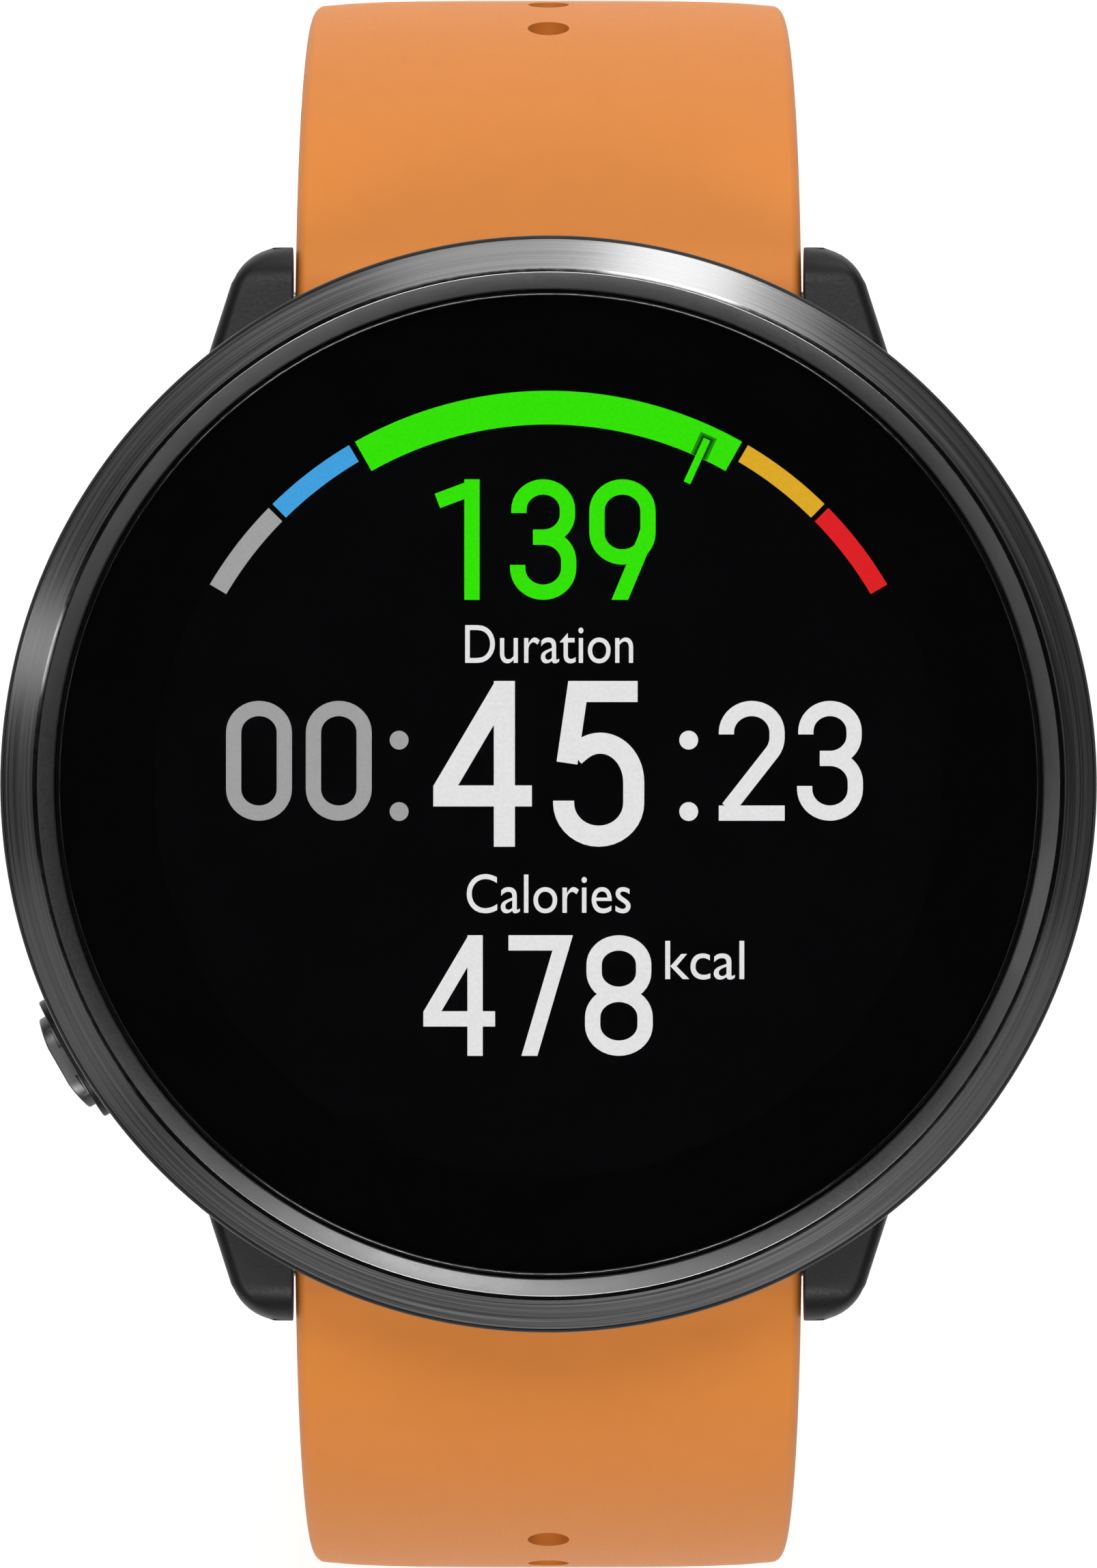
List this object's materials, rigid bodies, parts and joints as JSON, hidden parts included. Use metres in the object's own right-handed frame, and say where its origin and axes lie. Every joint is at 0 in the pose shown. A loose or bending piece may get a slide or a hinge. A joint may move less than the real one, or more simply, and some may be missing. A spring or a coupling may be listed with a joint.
{
  "type": "gps running watch",
  "caption": "Round sports watch with a brushed metal bezel, polymer case with lugs, side button and a two-part moulded strap with a pin buckle.",
  "frame": {"origin": "centre of the sensor window's flat face, which lies on the wrist", "axes": "+Z out of the display, +Y to 12 o'clock, +X to 3 o'clock"},
  "size_m": [0.043, 0.0643, 0.0749],
  "materials": {
    "case_polymer": "fine matte moulded",
    "bezel_metal": "dark coating, brushed round, with polished edges",
    "lens_glass": "polished chemically hardened glass",
    "display_black": "black display laminate",
    "seal_rubber": "matte",
    "inner_plastic": "glass-filled, matte",
    "circuit_board": "solder mask",
    "shield_tin": "tin-plated sheet",
    "copper_flex": "polyimide film",
    "gold_plate": "gold-plated",
    "cell_foil": "laminated foil pouch",
    "sensor_glass": "dark tinted, polished",
    "led_lens": "clear potted diode",
    "steel": "stainless, fine turned",
    "buckle_steel": "dark coated stainless, satin",
    "strap_silicone": "smooth matte moulded silicone"
  },
  "bodies": {
    "case": {"case_body": "case_polymer", "bezel_ring": "bezel_metal", "display_lens": "lens_glass", "lens_gasket": "seal_rubber", "display_panel": "display_black", "inner_frame": "inner_plastic", "main_board": "circuit_board", "shield_can": "shield_tin", "memory_chip": "display_black", "display_ribbon": "copper_flex", "gnss_antenna": "gold_plate", "battery_cell": "cell_foil", "motor_can": "shield_tin", "motor_base": "inner_plastic", "back_cover": "case_polymer", "cover_gasket": "seal_rubber", "sensor_window": "sensor_glass", "light_barrier": "inner_plastic", "sensor_board": "circuit_board", "light_sensor": "display_black", "pulse_led_1": "led_lens", "pulse_led_2": "led_lens", "pulse_led_3": "led_lens", "pulse_led_4": "led_lens", "charge_contact_1": "gold_plate", "charge_contact_2": "gold_plate", "charge_contact_3": "gold_plate", "charge_contact_4": "gold_plate", "case_screw_1": "steel", "case_screw_2": "steel", "case_screw_3": "steel", "case_screw_4": "steel", "button_bush": "steel", "button_seal": "seal_rubber", "button_spring": "steel", "button_switch": "inner_plastic"},
    "motor_rotor": {"motor_weight": "steel"},
    "button": {"button_cap": "bezel_metal", "button_clip": "steel"},
    "upper_half": {"strap_upper": "strap_silicone", "spring_bar_upper": "steel", "bar_spring_upper": "steel", "keeper_fixed": "strap_silicone"},
    "upper_release": {"release_pin_upper": "steel"},
    "loose_keeper": {"keeper_free": "strap_silicone"},
    "buckle": {"buckle_frame": "buckle_steel", "buckle_bar": "steel"},
    "tang": {"buckle_tang": "buckle_steel"},
    "lower_half": {"strap_lower": "strap_silicone", "spring_bar_lower": "steel", "bar_spring_lower": "steel"},
    "lower_release": {"release_pin_lower": "steel"}
  },
  "joints": [
    {"name": "strap_upper_swing", "type": "hinge", "parent": "case", "child": "upper_half", "pos_m": [0, 0.01905, 0.0025], "axis": [1, 0, 0], "range_deg": [-20, 35]},
    {"name": "strap_lower_swing", "type": "hinge", "parent": "case", "child": "lower_half", "pos_m": [0, -0.01905, 0.0025], "axis": [-1, 0, 0], "range_deg": [-5, 35]},
    {"name": "buckle_swing", "type": "hinge", "parent": "upper_half", "child": "buckle", "pos_m": [0, 0.01146, -0.04968], "axis": [1, 0, 0], "range_deg": [-30, 30]},
    {"name": "tang_swing", "type": "hinge", "parent": "buckle", "child": "tang", "pos_m": [0, 0.01146, -0.04968], "axis": [1, 0, 0], "range_deg": [0, 60]},
    {"name": "keeper_slide", "type": "slide", "parent": "upper_half", "child": "loose_keeper", "axis": [0, -0.6157, -0.788], "range_m": [-0.005, 0.0036]},
    {"name": "release_upper_slide", "type": "slide", "parent": "upper_half", "child": "upper_release", "axis": [-1, 0, 0], "range_m": [0, 0.0012], "stiffness_N_per_m": 600, "springref_m": -0.0005, "deforming": ["bar_spring_upper"]},
    {"name": "release_lower_slide", "type": "slide", "parent": "lower_half", "child": "lower_release", "axis": [-1, 0, 0], "range_m": [0, 0.0012], "stiffness_N_per_m": 600, "springref_m": -0.0005, "deforming": ["bar_spring_lower"]},
    {"name": "button_press", "type": "slide", "parent": "case", "child": "button", "axis": [0.866, 0.5, 0], "range_m": [0, 0.0005], "stiffness_N_per_m": 1500, "springref_m": -0.0005, "deforming": ["button_spring"]},
    {"name": "motor_spin", "type": "hinge", "parent": "case", "child": "motor_rotor", "pos_m": [0.01361, -0.00349, 0.0036], "axis": [0, 0, 1], "continuous": true}
  ]
}
